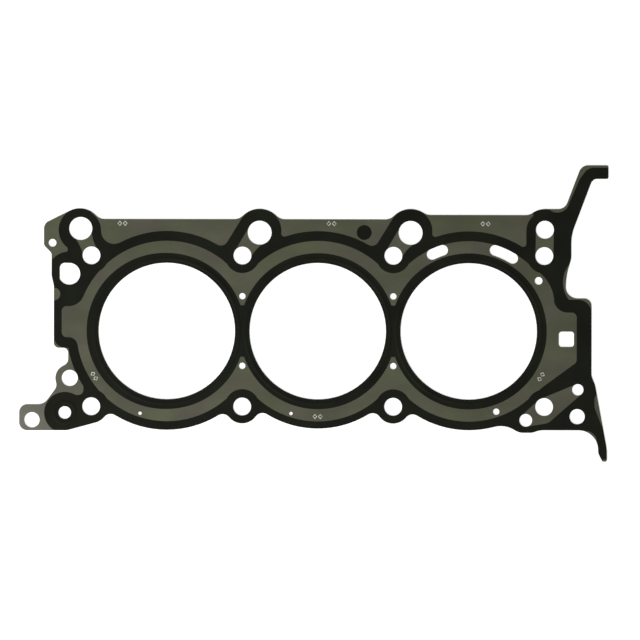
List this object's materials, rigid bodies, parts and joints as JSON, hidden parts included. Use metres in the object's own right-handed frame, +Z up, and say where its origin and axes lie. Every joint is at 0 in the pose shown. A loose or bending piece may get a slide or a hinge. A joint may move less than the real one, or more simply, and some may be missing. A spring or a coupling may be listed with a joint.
{
  "type": "cylinder head gasket",
  "caption": "Flat layered steel gasket that seals a cylinder head to its block, with beaded cylinder openings, bolt holes, fluid passages and a printed sealing coat.",
  "frame": {"origin": "centre of the middle cylinder opening, where the two steel sheets meet", "axes": "+X along the cylinder row towards the end with the horn and the tail, +Y across the row towards the straight top flange, +Z up out of the face with the beads rising"},
  "size_m": [0.4057, 0.2042, 0.0014],
  "materials": {
    "steel": "satin olive-grey rolled steel",
    "elastomer": "satin black printed coat"
  },
  "bodies": {
    "root": {"upper_bead_layer": "steel", "lower_bead_layer": "steel", "upper_sealing_coat": "elastomer"}
  },
  "joints": []
}
